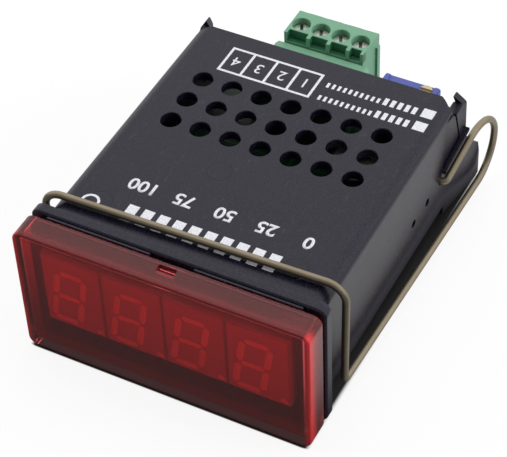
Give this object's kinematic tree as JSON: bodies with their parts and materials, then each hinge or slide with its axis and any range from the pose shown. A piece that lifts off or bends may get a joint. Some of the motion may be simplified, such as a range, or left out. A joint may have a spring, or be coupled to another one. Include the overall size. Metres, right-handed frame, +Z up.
{
  "type": "digital panel meter",
  "caption": "Small panel instrument with a red display lens, a vented dark case held by a wire spring clip, and a plug-in screw terminal at the open rear.",
  "frame": {"origin": "middle of the panel seat, the plane of the flange's rear face, on the axis of the panel cut-out", "axes": "X to the right seen from the front, Y to the rear through the panel, Z up"},
  "size_m": [0.0514, 0.0661, 0.0242],
  "materials": {
    "lens_red": "clear red moulded plastic, polished",
    "case_dark": "fine matt moulding",
    "clip_bronze": "drawn spring wire, satin",
    "board_green": "solder mask",
    "digit_dark": "dark face with pale strokes",
    "pin_tin": "tinned",
    "chip_black": "moulded package",
    "can_metal": "drawn can",
    "terminal_green": "satin moulding",
    "screw_steel": "plated",
    "contact_brass": "stamped strip",
    "trimmer_blue": "smooth moulding"
  },
  "bodies": {
    "case": {"housing": "case_dark", "display_board": "board_green", "led_digit_1": "digit_dark", "led_digit_2": "digit_dark", "led_digit_3": "digit_dark", "led_digit_4": "digit_dark", "link_strip": "chip_black", "link_pins": "pin_tin", "main_board": "board_green", "controller_chip": "chip_black", "voltage_regulator": "chip_black", "smoothing_capacitor": "can_metal", "terminal_header": "terminal_green", "header_pins": "pin_tin", "trimmer_body": "trimmer_blue"},
    "lens": {"front_lens": "lens_red"},
    "clip": {"spring_clip": "clip_bronze"},
    "plug": {"terminal_plug": "terminal_green", "plug_contacts": "contact_brass"},
    "adjuster": {"trimmer_screw": "contact_brass"},
    "screw_1": {"terminal_screw_1": "screw_steel"},
    "cage_1": {"clamp_cage_1": "contact_brass"},
    "screw_2": {"terminal_screw_2": "screw_steel"},
    "cage_2": {"clamp_cage_2": "contact_brass"},
    "screw_3": {"terminal_screw_3": "screw_steel"},
    "cage_3": {"clamp_cage_3": "contact_brass"},
    "screw_4": {"terminal_screw_4": "screw_steel"},
    "cage_4": {"clamp_cage_4": "contact_brass"}
  },
  "joints": [
    {"name": "lens_pull", "type": "slide", "parent": "case", "child": "lens", "axis": [0, -1, 0], "range_m": [0, 0.006]},
    {"name": "clip_swing", "type": "hinge", "parent": "case", "child": "clip", "pos_m": [0, 0.0426, -0.0022], "axis": [-1, 0, 0], "range_deg": [0, 100]},
    {"name": "plug_pull", "type": "slide", "parent": "case", "child": "plug", "axis": [0, 1, 0], "range_m": [0, 0.009]},
    {"name": "trimmer_turn", "type": "hinge", "parent": "case", "child": "adjuster", "pos_m": [0.0166, 0.0492, 0.009], "axis": [0, 0, 1], "continuous": true},
    {"name": "screw_1_turn", "type": "hinge", "parent": "plug", "child": "screw_1", "pos_m": [-0.00755, 0.0544, 0.0084], "axis": [0, 0, 1], "range_deg": [0, 1441]},
    {"name": "cage_1_drop", "type": "slide", "parent": "plug", "child": "cage_1", "axis": [0, 0, -1], "range_m": [0, 0.0016]},
    {"name": "screw_2_turn", "type": "hinge", "parent": "plug", "child": "screw_2", "pos_m": [-0.00405, 0.0544, 0.0084], "axis": [0, 0, 1], "range_deg": [0, 1441]},
    {"name": "cage_2_drop", "type": "slide", "parent": "plug", "child": "cage_2", "axis": [0, 0, -1], "range_m": [0, 0.0016]},
    {"name": "screw_3_turn", "type": "hinge", "parent": "plug", "child": "screw_3", "pos_m": [-0.00055, 0.0544, 0.0084], "axis": [0, 0, 1], "range_deg": [0, 1441]},
    {"name": "cage_3_drop", "type": "slide", "parent": "plug", "child": "cage_3", "axis": [0, 0, -1], "range_m": [0, 0.0016]},
    {"name": "screw_4_turn", "type": "hinge", "parent": "plug", "child": "screw_4", "pos_m": [0.00295, 0.0544, 0.0084], "axis": [0, 0, 1], "range_deg": [0, 1441]},
    {"name": "cage_4_drop", "type": "slide", "parent": "plug", "child": "cage_4", "axis": [0, 0, -1], "range_m": [0, 0.0016]}
  ],
  "couplings": [
    {"joint": "screw_1_turn", "follows": "cage_1_drop", "rad_per_m": 15708},
    {"joint": "screw_2_turn", "follows": "cage_2_drop", "rad_per_m": 15708},
    {"joint": "screw_3_turn", "follows": "cage_3_drop", "rad_per_m": 15708},
    {"joint": "screw_4_turn", "follows": "cage_4_drop", "rad_per_m": 15708}
  ]
}
